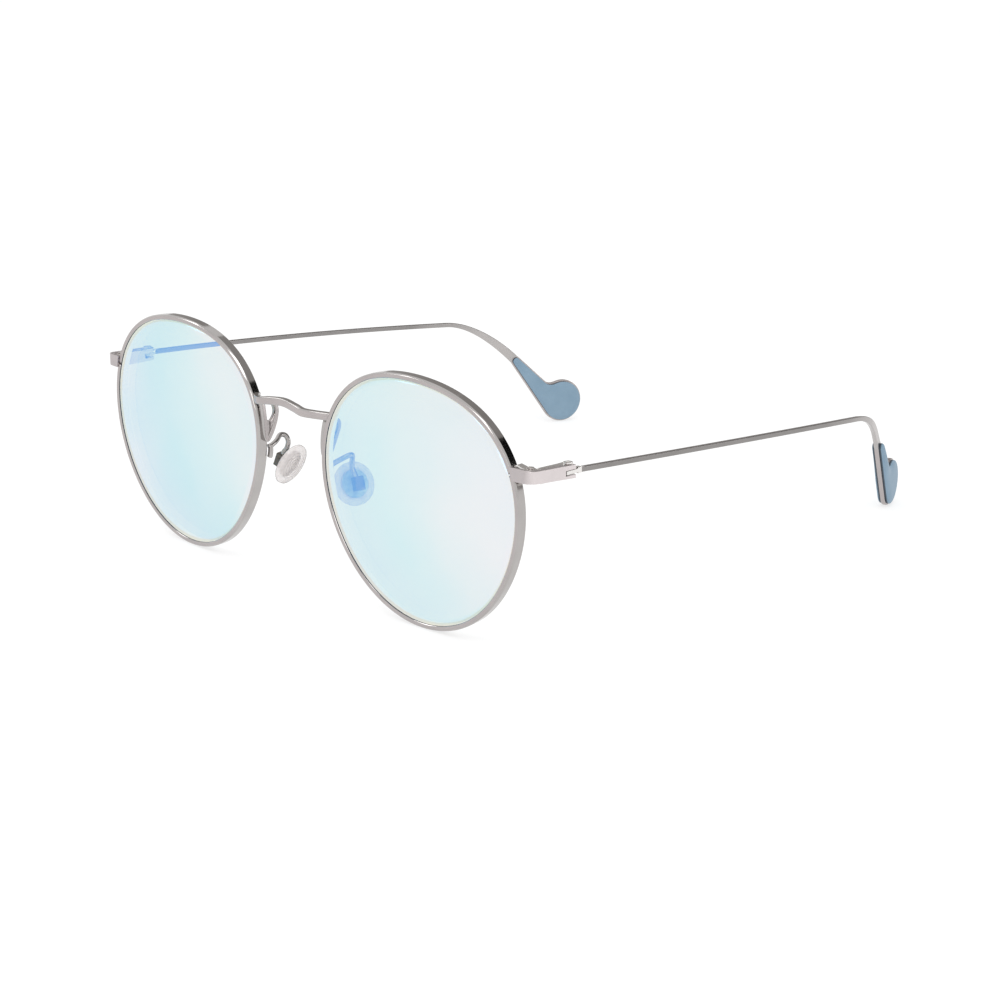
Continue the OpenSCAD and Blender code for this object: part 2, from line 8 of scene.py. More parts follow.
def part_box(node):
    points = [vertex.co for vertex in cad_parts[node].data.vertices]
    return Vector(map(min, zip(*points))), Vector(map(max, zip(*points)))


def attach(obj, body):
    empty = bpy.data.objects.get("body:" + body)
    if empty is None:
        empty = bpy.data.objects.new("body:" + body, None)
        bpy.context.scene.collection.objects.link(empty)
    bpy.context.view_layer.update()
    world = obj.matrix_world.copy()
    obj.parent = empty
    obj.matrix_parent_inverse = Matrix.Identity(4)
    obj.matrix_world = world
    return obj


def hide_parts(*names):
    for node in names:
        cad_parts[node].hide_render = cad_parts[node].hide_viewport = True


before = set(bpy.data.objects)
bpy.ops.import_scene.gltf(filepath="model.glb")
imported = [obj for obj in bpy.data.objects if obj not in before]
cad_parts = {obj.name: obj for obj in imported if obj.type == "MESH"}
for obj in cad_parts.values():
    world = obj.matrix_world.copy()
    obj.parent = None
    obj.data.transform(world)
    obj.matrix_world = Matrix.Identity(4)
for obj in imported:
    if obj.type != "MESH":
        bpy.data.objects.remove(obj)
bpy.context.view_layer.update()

# Lengths below are in millimetres, in the front frame of the glasses: x to the wearer's left, y back,
# z up, with y = 0 at the middle of the eyewires' depth. place() takes a point to the shared frame in metres.
MM = 0.001
SAME_POINT = 1e-7
SIDES = {"left": 1, "right": -1}
END_PIECE_BACK = 11.5
FRAME_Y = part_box("end_piece_left")[1].y / MM - END_PIECE_BACK

# Lenses and eyewires
LENS_SPACING = 71.1
EYEWIRE_R = 25.6
LENS_HEIGHT = 25.88
EYEWIRE_HALF_DEPTH = 1.1
EYEWIRE_WALL = 1.05
GROOVE_HALF = 0.45
BASE_CURVE_R = 100.0
LENS_THICK = 1.9
WRAP = math.radians(2.7)
TILT = math.radians(1.65)
OVAL, LEAN, BROW, SQUARE = 0.016, -0.013, 0.031, -0.005
SPLIT_ANGLE = math.radians(22.4)

# Bridge, braces and pad arms
BRIDGE_TALL, BRIDGE_DEEP = 1.55, 1.35
BRIDGE_Z, BRIDGE_REACH = 38.8, 4.1
BRACE_THICK, BRACE_WIDE = 0.95, 1.2
ARM_D = 1.05

# Nose pads
PAD_AT = Vector((9.65, 6.1, 22.03))
PAD_R, PAD_THICK, PAD_BACK = 4.45, 1.6, 0.65
PAD_FRONTAL, PAD_SPLAY = math.radians(21.7), math.radians(12)

# Temples and tips
WIRE_TALL, WIRE_WIDE = 1.05, 0.85
WIRE_START = Vector((64.55, 13, 35.25))
WIRE_END = Vector((62.56, 101, 27.8))
BOW_OUT, BOW_UP, BEND_PULL = 1.4, 0.37, 7.5
STRAIGHT_STEPS, BEND_STEPS = 60, 48
TOE_IN = math.radians(23)
TIP_AT = Vector((56.87, 116.83, 0))
STEM_C, STEM_R = Vector((2.2, 16.85)), 0.85
BULB_R, CORE_MARGIN, CORE_THICK = 5.0, 0.35, 1.0
BULB_C = Vector((14.98, BULB_R + CORE_MARGIN))
TOP_EDGE, NOTCH_R = math.radians(-43.3), 3.0
TIP_PAD_EDGE, TIP_PAD_REACH = 0.45, 2.2
TIP_PAD_OVER_STEM = {"outer": 1.35, "inner": 0.7}
TIP_PAD_OVER_BULB = {"outer": 1.15, "inner": 1.05}

# Camera, floor and what the cards and lamp point at
CAMERA_AT = Vector((331.96, -276.92, 151.08))
CAMERA_YAW, CAMERA_PITCH, CAMERA_ROLL = math.radians(44.81), math.radians(-17.18), math.radians(0.273)
CAMERA_LENS = 80.64
FLOOR_HALF = 4.0
FLOOR_DROP = 0.02
CENTRE = (0, 0, 0.03)

# Places that skin() and the builders give to faces off the ring: end caps, and parts joined on
CAP, JOINED = -1, -2
# Places of the flat faces round a rectangle()'s ring, square to its y and to its x
FLATS_ON_Y, FLATS_ON_X = (3, 11), (7, 15)


def place(p, side):
    return Vector((side * p[0], p[1] + FRAME_Y, p[2])) * MM


def lerp(a, b, t):
    return a + (b - a) * t


def ease(t):
    """Evenly spaced t, crowded towards 0 and 1."""
    return 0.5 - 0.5 * math.cos(math.pi * t)


# ---------------------------------------------------------------- curves and sections


def outline_r(a):
    wave = OVAL * math.cos(2 * a) + LEAN * math.sin(2 * a) + BROW * math.sin(3 * a) + SQUARE * math.cos(4 * a)
    return EYEWIRE_R * (1 + wave)


def sag(r):
    return (r * r - EYEWIRE_R * EYEWIRE_R) / (2 * BASE_CURVE_R)


def lens_point(r, a, w):
    """Point of the left lens at radius r, angle a and depth w."""
    u, v = r * math.cos(a), r * math.sin(a)
    y = u * math.sin(WRAP) + w * math.cos(WRAP)
    return Vector((
        LENS_SPACING / 2 + u * math.cos(WRAP) - w * math.sin(WRAP),
        y * math.cos(TILT) - v * math.sin(TILT),
        y * math.sin(TILT) + v * math.cos(TILT) + LENS_HEIGHT,
    ))


def wire_point(a, off, w):
    return lens_point(outline_r(a) + off, a, sag(outline_r(a)) + w)


def nasal_x(z):
    """Where the eyewire's nasal face is at height z."""
    a = math.pi - math.asin((z - LENS_HEIGHT) / (EYEWIRE_R * 1.02))
    return wire_point(a, 0, 0).x


def pad_turn():
    return Matrix.Rotation(-PAD_SPLAY, 3, "Z") @ Matrix.Rotation(-PAD_FRONTAL, 3, "Y")


def brace_x(z):
    return nasal_x(z) - 0.3 - 0.095 * (z - 29.5)


def smooth_path(points, steps, loop=False):
    """Catmull-Rom curve through the points, with that many steps to each stretch."""
    n = len(points)
    pick = (lambda i: points[i % n]) if loop else (lambda i: points[min(max(i, 0), n - 1)])
    path = []
    for i in range(n if loop else n - 1):
        a, b, c, d = (Vector(pick(i + k)) for k in (-1, 0, 1, 2))
        for j in range(steps):
            t = j / steps
            path.append(0.5 * (2 * b + (c - a) * t + (2 * a - 5 * b + 4 * c - d) * t ** 2
                               + (3 * b - a - 3 * c + d) * t ** 3))
    return path if loop else path + [Vector(points[-1])]


def rounded(corners, radius, steps=3):
    """Outline with its corners rounded. Returns the points, and for each stretch whether it is a corner."""
    points, is_corner = [], []
    n = len(corners)
    for i in range(n):
        before, at, after = (Vector(corners[(i + k) % n]) for k in (-1, 0, 1))
        r = radius[i] if isinstance(radius, (list, tuple)) else radius
        into, out = (at - before).normalized(), (after - at).normalized()
        turn = into.angle_signed(out)
        cut = abs(r * math.tan(turn / 2))
        start, end = at - into * cut, at + out * cut
        for k in range(steps + 1):
            t = k / steps
            points.append((1 - t) ** 2 * start + 2 * t * (1 - t) * at + t * t * end)
            is_corner.append(k < steps)
    return points, is_corner


def rectangle(wide, tall, r):
    x, y = wide / 2, tall / 2
    return rounded([(x, -y), (-x, -y), (-x, y), (x, y)], r)


def disc(r, n):
    return [Vector((r * math.cos(-k * math.tau / n), r * math.sin(-k * math.tau / n))) for k in range(n)]


def frames_along(path, ref, loop=False):
    """Point and two section axes at each step of a path; the second axis stays beside ref."""
    n = len(path)
    ref = Vector(ref)
    for i, p in enumerate(path):
        ahead = path[(i + 1) % n] if loop else path[min(i + 1, n - 1)]
        behind = path[i - 1] if loop else path[max(i - 1, 0)]
        t = (ahead - behind).normalized()
        s = t.cross(ref).normalized()
        yield p, s, s.cross(t)


def sweep(path, shape, ref, loop=False):
    """Rings of a section carried along a path. shape is one outline, or one for each step."""
    rings = []
    for i, (p, s, u) in enumerate(frames_along(path, ref, loop)):
        outline = shape(i) if callable(shape) else shape
        rings.append([p + q.x * s + q.y * u for q in outline])
    return rings


# ---------------------------------------------------------------- meshes


def skin(rings, loop=False, capped=True):
    """Vertices, faces and, for each face, its place round the ring; the end caps have CAP."""
    n, m = len(rings), len(rings[0])
    faces, places = [], []
    for i in range(n if loop else n - 1):
        for j in range(m):
            k = (j + 1) % m
            h = (i + 1) % n
            faces.append((i * m + j, i * m + k, h * m + k, h * m + j))
            places.append(j)
    if capped and not loop:
        faces += [tuple(range(m))[::-1], tuple((n - 1) * m + j for j in range(m))]
        places += [CAP, CAP]
    return [p for ring in rings for p in ring], faces, places


def join(*parts):
    """Several vertex and face lists as one."""
    verts, faces, places = [], [], []
    for v, f, p in parts:
        faces += [tuple(i + len(verts) for i in face) for face in f]
        verts += v
        places += p
    return verts, faces, places


def make_piece(name, mesh_parts, side, body, node, materials, pick=None, weighted=True):
    """A smooth mesh piece that rides on a body and stands for a CAD node. pick gives a face's material."""
    verts, faces, places = mesh_parts
    mesh = bpy.data.meshes.new(name)
    mesh.from_pydata([place(v, side) for v in verts], [], faces)
    for material in materials:
        mesh.materials.append(material)
    bm = bmesh.new()
    bm.from_mesh(mesh)
    bm.faces.ensure_lookup_table()
    if pick:
        for face, where in zip(bm.faces, places):
            face.material_index = pick(where)
    bmesh.ops.remove_doubles(bm, verts=bm.verts, dist=SAME_POINT)
    bmesh.ops.recalc_face_normals(bm, faces=bm.faces)
    bm.to_mesh(mesh)
    bm.free()
    mesh.shade_smooth()
    piece = bpy.data.objects.new(name, mesh)
    bpy.context.scene.collection.objects.link(piece)
    if weighted:
        modifier = piece.modifiers.new("even_faces", "WEIGHTED_NORMAL")
        modifier.keep_sharp = True
        modifier.weight = 80
    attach(piece, body)
    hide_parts(node)
    return piece


# ---------------------------------------------------------------- materials


def new_material(name):
    material = bpy.data.materials.new(name)
    material.use_nodes = True
    nodes = material.node_tree.nodes
    nodes.clear()
    output = nodes.new("ShaderNodeOutputMaterial")
    return material, nodes, material.node_tree.links, output


def grey(value):
    return (value, value, value)


def noise(nodes, links, scale, detail):
    """Noise in object space; scale is in waves per metre."""
    coords = nodes.new("ShaderNodeTexCoord")
    texture = nodes.new("ShaderNodeTexNoise")
    texture.inputs["Scale"].default_value = scale
    texture.inputs["Detail"].default_value = detail
    links.new(coords.outputs["Object"], texture.inputs["Vector"])
    return texture.outputs["Fac"]


def ramp(nodes, links, source, stops):
    node = nodes.new("ShaderNodeValToRGB")
    elements = node.color_ramp.elements
    while len(elements) < len(stops):
        elements.new(0.5)
    for element, (at, color) in zip(elements, stops):
        element.position = at
        element.color = (*color, 1)
    links.new(source, node.inputs["Fac"])
    return node.outputs["Color"]


def spread(nodes, links, source, low, high):
    """Maps a noise value to a range."""
    node = nodes.new("ShaderNodeMapRange")
    node.inputs["From Min"].default_value = 0.3
    node.inputs["From Max"].default_value = 0.7
    node.inputs["To Min"].default_value = low
    node.inputs["To Max"].default_value = high
    links.new(source, node.inputs["Value"])
    return node.outputs["Result"]


def bump(nodes, links, source, strength, distance):
    node = nodes.new("ShaderNodeBump")
    node.inputs["Strength"].default_value = strength
    node.inputs["Distance"].default_value = distance
    links.new(source, node.inputs["Height"])
    return node.outputs["Normal"]


def multiply(nodes, links, a, b):
    node = nodes.new("ShaderNodeMix")
    node.data_type = "RGBA"
    node.blend_type = "MULTIPLY"
    node.inputs["Factor"].default_value = 1.0
    links.new(a, node.inputs[6])
    links.new(b, node.inputs[7])
    return node.outputs[2]


def metal(name, dark, light, rough, grain, grain_depth, tone=None):
    """Plated metal: slow colour drift, fine grain in roughness and bump; tone multiplies its colour by place,
    and the tones given to it are painted light.
    """
    material, nodes, links, output = new_material(name)
    shader = nodes.new("ShaderNodeBsdfPrincipled")
    shader.inputs["Metallic"].default_value = 1.0
    color = ramp(nodes, links, noise(nodes, links, 160, 2), [(0.3, dark), (0.7, light)])
    if tone:
        color = multiply(nodes, links, color, tone(nodes, links))
    links.new(color, shader.inputs["Base Color"])
    fine = noise(nodes, links, grain, 4)
    links.new(spread(nodes, links, fine, *rough), shader.inputs["Roughness"])
    links.new(bump(nodes, links, fine, 0.4, grain_depth), shader.inputs["Normal"])
    links.new(shader.outputs["BSDF"], output.inputs["Surface"])
    return material


def lens_coating():
    """Blue-reflecting coating: an even blue sheen, painted in as a blue glow with no lamp behind it, and a
    tint that is pinker square on and bluer aslant.
    """
    material, nodes, links, output = new_material("lens_coating")
    facing = nodes.new("ShaderNodeLayerWeight")
    facing.inputs["Blend"].default_value = 0.5
    aslant = ramp(nodes, links, facing.outputs["Facing"], [
        (0.15, (0.72, 0.525, 0.155)), (0.3, (0.685, 0.535, 0.15)), (0.38, (0.61, 0.53, 0.15)),
        (0.48, (0.57, 0.51, 0.145)), (0.68, (0.63, 0.495, 0.155)),
    ])
    slow = noise(nodes, links, 42, 1)
    drift = ramp(nodes, links, slow, [(0.36, (0.94, 0.99, 0.99)), (0.62, (1.03, 1.0, 1.0))])
    tint = multiply(nodes, links, aslant, drift)
    through = nodes.new("ShaderNodeBsdfTransparent")
    links.new(tint, through.inputs["Color"])
    mirror = nodes.new("ShaderNodeBsdfGlossy")
    mirror.inputs["Roughness"].default_value = 0.06
    mirror.inputs["Color"].default_value = (0.03, 0.09, 0.2, 1)
    # Painted sheen: a blue glow that stands in for the coating's reflected light, the same whatever light
    # falls on the lens.
    painted_sheen_glow = nodes.new("ShaderNodeEmission")
    painted_sheen_glow.inputs["Color"].default_value = (0.065, 0.225, 0.52, 1)
    painted_sheen_glow.inputs["Strength"].default_value = 1.0
    reflected = nodes.new("ShaderNodeAddShader")
    links.new(mirror.outputs["BSDF"], reflected.inputs[0])
    links.new(painted_sheen_glow.outputs["Emission"], reflected.inputs[1])
    both = nodes.new("ShaderNodeAddShader")
    links.new(through.outputs["BSDF"], both.inputs[0])
    links.new(reflected.outputs["Shader"], both.inputs[1])
    links.new(both.outputs["Shader"], output.inputs["Surface"])
    return material


def clear_coat():
    """The lens's bare back face: clear, with a weak reflection."""
    material, nodes, links, output = new_material("lens_clear")
    through = nodes.new("ShaderNodeBsdfTransparent")
    haze = noise(nodes, links, 60, 2)
    links.new(ramp(nodes, links, haze, [(0.3, (0.97, 0.985, 0.985)), (0.7, (0.99, 0.99, 0.99))]),
              through.inputs["Color"])
    mirror = nodes.new("ShaderNodeBsdfGlossy")
    mirror.inputs["Roughness"].default_value = 0.04
    facing = nodes.new("ShaderNodeLayerWeight")
    facing.inputs["Blend"].default_value = 0.08
    mix = nodes.new("ShaderNodeMixShader")
    links.new(facing.outputs["Facing"], mix.inputs["Fac"])
    links.new(through.outputs["BSDF"], mix.inputs[1])
    links.new(mirror.outputs["BSDF"], mix.inputs[2])
    links.new(mix.outputs["Shader"], output.inputs["Surface"])
    return material


def lens_edge_painted_glow():
    """The ground bevel, with a painted glow: it gives off near-white light of its own and reads as bright as
    the lens round it.
    """
    material, nodes, links, output = new_material("lens_edge_painted_glow")
    shader = nodes.new("ShaderNodeBsdfPrincipled")
    grain = noise(nodes, links, 3000, 3)
    links.new(ramp(nodes, links, grain, [(0.3, (0.12, 0.13, 0.14)), (0.7, (0.18, 0.19, 0.2))]),
              shader.inputs["Base Color"])
    # Painted glow: near-white emission that lights the bevel.
    links.new(ramp(nodes, links, grain, [(0.3, (0.92, 0.93, 0.94)), (0.7, (1.0, 1.0, 1.0))]),
              shader.inputs["Emission Color"])
    shader.inputs["Emission Strength"].default_value = 0.9
    links.new(spread(nodes, links, grain, 0.12, 0.2), shader.inputs["Roughness"])
    links.new(shader.outputs["BSDF"], output.inputs["Surface"])
    return material


def rubber(name, dark, light, sheen):
    """Moulded rubber: mottled colour and fine grain."""
    material, nodes, links, output = new_material(name)
    shader = nodes.new("ShaderNodeBsdfPrincipled")
    shader.inputs["Sheen Weight"].default_value = sheen
    mottle = noise(nodes, links, 260, 3)
    links.new(ramp(nodes, links, mottle, [(0.3, dark), (0.7, light)]), shader.inputs["Base Color"])
    fine = noise(nodes, links, 4200, 4)
    links.new(spread(nodes, links, fine, 0.5, 0.62), shader.inputs["Roughness"])
    links.new(bump(nodes, links, fine, 0.5, 0.00003), shader.inputs["Normal"])
    links.new(shader.outputs["BSDF"], output.inputs["Surface"])
    return material


def satin(name, dark, light, tone=None):
    """Satin plating, the same grain everywhere."""
    return metal(name, dark, light, (0.30, 0.40), 5200, 0.00002, tone)


def painted_bend_light(nodes, links):
    """Painted light: the temple wires are darker along their straight run and lighter where they bend down to
    the tips, for how the light falls there.
    """
    coords = nodes.new("ShaderNodeTexCoord")
    split = nodes.new("ShaderNodeSeparateXYZ")
    links.new(coords.outputs["Object"], split.inputs["Vector"])
    along = nodes.new("ShaderNodeMapRange")
    bend = place(WIRE_END, 1).y
    along.inputs["From Min"].default_value = bend - 12 * MM
    along.inputs["From Max"].default_value = bend + 10 * MM
    links.new(split.outputs["Y"], along.inputs["Value"])
    return ramp(nodes, links, along.outputs["Result"], [(0.0, grey(0.6)), (1.0, grey(1.0))])


def painted_side_light(nodes, links):
    """Painted light: lighter on faces that look sideways than on those that look to the front, for the light
    that falls on the sides.
    """
    size = nodes.new("ShaderNodeMath")
    size.operation = "ABSOLUTE"
    links.new(along_axis(nodes, links, (1, 0, 0)), size.inputs[0])
    return ramp(nodes, links, size.outputs["Value"], [(0.25, grey(0.7)), (0.9, grey(1.0))])


def facing_value(nodes, links, stops):
    """Grey value that changes from faces seen square on (0) to faces seen edge on (1)."""
    facing = nodes.new("ShaderNodeLayerWeight")
    facing.inputs["Blend"].default_value = 0.5
    return ramp(nodes, links, facing.outputs["Facing"], [(at, grey(value)) for at, value in stops])


def along_axis(nodes, links, axis):
    """How far a face points along an axis of the object, from -1 to 1."""
    coords = nodes.new("ShaderNodeTexCoord")
    dot = nodes.new("ShaderNodeVectorMath")
    dot.operation = "DOT_PRODUCT"
    dot.inputs[1].default_value = axis
    links.new(coords.outputs["Normal"], dot.inputs[0])
    return dot.outputs["Value"]


def silicone(name, side):
    """Clear soft silicone: see-through on its broad faces, dense round its edge, with painted shade darkening
    its colour where it is seen edge on.
    """
    material, nodes, links, output = new_material("clear_silicone_" + name)
    shader = nodes.new("ShaderNodeBsdfPrincipled")
    mottle = noise(nodes, links, 900, 3)
    body = ramp(nodes, links, mottle, [(0.3, (0.82, 0.77, 0.755)), (0.7, (0.92, 0.87, 0.86))])
    # Painted shade: darker towards faces seen edge on, standing in for the dark surroundings seen through the
    # edge.
    edge = facing_value(nodes, links, [(0.0, 1.0), (0.6, 0.95), (0.82, 0.4), (1.0, 0.1)])
    links.new(multiply(nodes, links, body, edge), shader.inputs["Base Color"])
    axis = pad_turn() @ Vector((1, 0, 0))
    square = nodes.new("ShaderNodeMath")
    square.operation = "MULTIPLY"
    flat = along_axis(nodes, links, (side * axis.x, axis.y, axis.z))
    links.new(flat, square.inputs[0])
    links.new(flat, square.inputs[1])
    solid = [(0.0, grey(0.7)), (0.6, grey(0.6)), (0.93, grey(0.5)), (1.0, grey(0.46))]
    links.new(ramp(nodes, links, square.outputs["Value"], solid), shader.inputs["Alpha"])
    fine = noise(nodes, links, 1500, 4)
    links.new(spread(nodes, links, fine, 0.18, 0.3), shader.inputs["Roughness"])
    links.new(bump(nodes, links, fine, 0.4, 0.00002), shader.inputs["Normal"])
    links.new(shader.outputs["BSDF"], output.inputs["Surface"])
    return material


def insert_plastic(name, side):
    """Hard core of a nose pad: lighter on faces that look towards the nose, darker and bluer on faces that
    look outboard.
    """
    material, nodes, links, output = new_material("clear_insert_" + name)
    shader = nodes.new("ShaderNodeBsdfPrincipled")
    mottle = noise(nodes, links, 700, 3)
    clear = ramp(nodes, links, mottle, [(0.3, (0.86, 0.80, 0.79)), (0.7, (0.97, 0.92, 0.91))])
    plate = ramp(nodes, links, mottle, [(0.35, (0.34, 0.46, 0.5)), (0.65, (0.6, 0.74, 0.78))])
    tone = nodes.new("ShaderNodeMix")
    tone.data_type = "RGBA"
    tone.clamp_factor = True
    links.new(along_axis(nodes, links, (side, 0, 0)), tone.inputs[0])
    links.new(clear, tone.inputs[6])
    links.new(plate, tone.inputs[7])
    links.new(tone.outputs[2], shader.inputs["Base Color"])
    shader.inputs["Alpha"].default_value = 0.8
    shader.inputs["Coat Weight"].default_value = 0.5
    links.new(spread(nodes, links, mottle, 0.1, 0.25), shader.inputs["Roughness"])
    links.new(shader.outputs["BSDF"], output.inputs["Surface"])
    return material


SATIN = satin("satin_plating", (0.44, 0.405, 0.40), (0.48, 0.44, 0.435))
POLISHED = metal("polished_plating", (0.42, 0.40, 0.39), (0.47, 0.45, 0.44), (0.07, 0.13), 2400, 0.000004)
# Temple wire satin with painted light: darker along the straight run, lighter at the bend.
TEMPLE_SATIN = satin("satin_wire", (0.45, 0.43, 0.42), (0.5, 0.475, 0.465), painted_bend_light)
# Painted shade: near-black navy plating on the groove's lip, for the shade inside the groove.
RIM_LIP_PAINTED_SHADE = metal("rim_lip_painted_shade", (0.008, 0.012, 0.03), (0.016, 0.024, 0.055), (0.25, 0.35), 2400, 0.000006)
# Painted light: the polished plating made lighter for the hinges, closing blocks and screws, for the brighter
# light on them.
HARDWARE_PAINTED_LIGHT = metal("hardware_plating_painted_light", (0.7, 0.68, 0.66), (0.8, 0.78, 0.76), (0.09, 0.15), 2400, 0.000005)
# Painted shade: the polished plating made dark for the pad boxes and their screws.
PAD_HARDWARE_PAINTED_SHADE = metal("plating_painted_shade", (0.13, 0.12, 0.11), (0.2, 0.185, 0.17), (0.15, 0.25), 2400, 0.000008)
COATING = lens_coating()
LENS_CLEAR = clear_coat()
LENS_EDGE_PAINTED_GLOW = lens_edge_painted_glow()
# End piece satin, painted lighter than the rims' on faces that look sideways; its front faces come out about
# as light as the rims.
END_SATIN_PAINTED_LIGHT = satin("satin_end_piece_painted_light", (0.66, 0.6075, 0.608), (0.72, 0.66, 0.661), painted_side_light)
SILICONES = {side: silicone(name, side) for name, side in SIDES.items()}
INSERTS = {side: insert_plastic(name, side) for name, side in SIDES.items()}
TIP_RUBBER = rubber("blue_tip_rubber", (0.185, 0.29, 0.385), (0.215, 0.325, 0.425), 0.1)
# Painted shade: near-black rubber on the tip pads' skirts, for the shadowed gap between rubber and core.
TIP_RUBBER_PAINTED_SHADE = rubber("tip_rubber_edge_painted_shade", (0.05, 0.075, 0.1), (0.08, 0.11, 0.14), 0.0)


# ---------------------------------------------------------------- front of the glasses


def build_eyewire(name, side):
    """Grooved rim: satin front, polished chamfers, sides and back, with painted shade: the groove's lip is
    near black.
    """
    d, t = EYEWIRE_HALF_DEPTH, EYEWIRE_WALL
    corners = [(0, -0.62 * d), (-0.22, -d), (0.14 - t, -d), (-t, 0.14 - d), (-t, -GROOVE_HALF), (0.5 - t, 0),
               (-t, GROOVE_HALF), (-t, d - 0.12), (0.12 - t, d), (-0.2, d), (0, d - 0.2)]
    radii = [0.1, 0.08, 0.04, 0.04, 0.03, 0.03, 0.03, 0.04, 0.04, 0.08, 0.08]
    section, _ = rounded(corners, radii, 2)
    per_corner = 3
    gap = 0.25 / EYEWIRE_R
    steps = 360
    rings = []
    for i in range(steps + 1):
        a = SPLIT_ANGLE + gap / 2 + (math.tau - gap) * i / steps
        rings.append([wire_point(a, q.x, q.y) for q in section])
    front = per_corner + 2
    lip = range(3 * per_corner, 5 * per_corner)

    def pick(where):
        if where in (front, CAP):
            return 0
        # The lip faces take the painted shade.
        return 2 if where in lip else 1

    return make_piece(name + "_rim", skin(rings), side, "front", name,
                      [SATIN, POLISHED, RIM_LIP_PAINTED_SHADE], pick)


def build_lens(name, side):
    """Meniscus lens with a bevelled edge."""
    shoulder, apex = EYEWIRE_WALL + 0.05, EYEWIRE_WALL - 0.5 + 0.05
    front = 0.3 - EYEWIRE_HALF_DEPTH + shoulder * EYEWIRE_R / BASE_CURVE_R
    turns, steps = 160, 18
    hub = 0.02

    def face(f, w):
        ring = []
        for j in range(turns):
            a = math.tau * j / turns
            r = lerp(hub, outline_r(a) - shoulder, f)
            ring.append(lens_point(r, a, sag(r) + w))
        return ring

    front_rings = [face(i / steps, front) for i in range(steps + 1)]
    edges = [[wire_point(math.tau * j / turns, off, w) for j in range(turns)]
             for off, w in ((-shoulder, -GROOVE_HALF), (-apex, 0), (-shoulder, GROOVE_HALF))]
    back_rings = [face(1 - i / steps, front + LENS_THICK) for i in range(steps + 1)]
    rings = front_rings + edges + back_rings
    verts, faces, places = skin(rings)
    zones = [min(i // turns, len(rings) - 2) for i in range(len(places) - 2)] + [0, len(rings) - 2]

    def pick(zone):
        if zone < steps:
            return 0
        return 1 if zone < steps + 4 else 2

    return make_piece(name + "_curve", (verts, faces, zones), side, "front", name,
                      [COATING, LENS_EDGE_PAINTED_GLOW, LENS_CLEAR], pick, weighted=False)


def build_bridge():
    """Flat-fronted strip, bowed back in the middle and curled onto both eyewires."""
    half = [(0, 0.6, 0), (4, 0.15, 0.3), (6.5, 0, 0.7), (8.5, 0.9, 0.9), (10, 2.2, 1.15), (11.1, 3.1, 1.3)]
    points = [(-x, y - BRIDGE_REACH, BRIDGE_Z - z) for x, y, z in half[:0:-1]]
    points += [(x, y - BRIDGE_REACH, BRIDGE_Z - z) for x, y, z in half]
    path = smooth_path(points, 12)
    section, _ = rectangle(BRIDGE_DEEP, BRIDGE_TALL, 0.24)
    rings = sweep(path, section, (0, 0, 1))
    return make_piece("bridge_strip", skin(rings), 1, "front", "bridge", [SATIN, POLISHED],
                      lambda where: 0 if where in (*FLATS_ON_X, CAP) else 1)


def build_brace(name, side):
    """Loop of flat strip behind the eyewire's nasal face."""
    outline = [(-0.9, 36.3), (0.4, 36.5), (1.8, 35.9), (2.2, 34.6), (1.8, 33), (1.05, 31.2), (0.2, 29.6),
               (-0.6, 28.75), (-1.05, 30.2), (-1.1, 33), (-1.05, 35.2)]
    points = [(brace_x(z), y, z) for y, z in outline]
    path = smooth_path(points, 10, loop=True)
    section, _ = rectangle(BRACE_THICK, BRACE_WIDE, 0.2)
    loop = skin(sweep(path, section, (1, 0, 0), loop=True), loop=True)
    half = BRACE_WIDE / 2 - 0.15
    levels = [(-1, 29.2, 33.6), (-0.5, 29, 32.9), (0.1, 29.6, 32.4), (0.6, 30.5, 32.6), (1.1, 31.5, 33.1),
              (1.6, 32.8, 33.8)]
    rings = []
    for y, low, high in smooth_path(levels, 4):
        edge = ((-half, low), (-half, high), (half, high), (half, low))
        rings.append([Vector((brace_x(z) + dx, y, z)) for dx, z in edge])
    verts, faces, places = skin(rings)
    return make_piece(name + "_loop", join(loop, (verts, faces, [JOINED] * len(places))), side, "front",
                      name, [SATIN, POLISHED],
                      lambda where: 0 if where in (*FLATS_ON_Y, JOINED) else 1)


def build_arm(name, side):
    """Gooseneck wire and its foot."""
    route = [(9.4, 0.1, 27.05), (9.45, 1, 27.25), (9.8, 2.5, 27.8), (10.55, 4.1, 28.5), (10.3, 5.3, 28.2),
             (9.85, 5.6, 27), (10.1, 5.4, 25.6), (10.85, 5.25, 24.7), (11.33, 5.28, 23.85)]
    foot = [(9.35, 0.5, 27.4), (9.3, 0.5, 26.4), (9.36, 0.45, 25.5), (9.5, 0.35, 24.8)]
    wire = skin(sweep(smooth_path(route, 12), disc(ARM_D / 2, 20), (1, 0, 0)))
    foot_section, _ = rectangle(0.8, 1, 0.25)
    tab = skin(sweep(smooth_path(foot, 8), foot_section, (1, 0, 0)))
    return make_piece(name + "_wire", join(wire, tab), side, "front", name, [POLISHED])


def pad_point(x, y, z):
    """Point in the pad's own frame, x outboard and z up along the pad."""
    return PAD_AT + pad_turn() @ Vector((x, y, z))


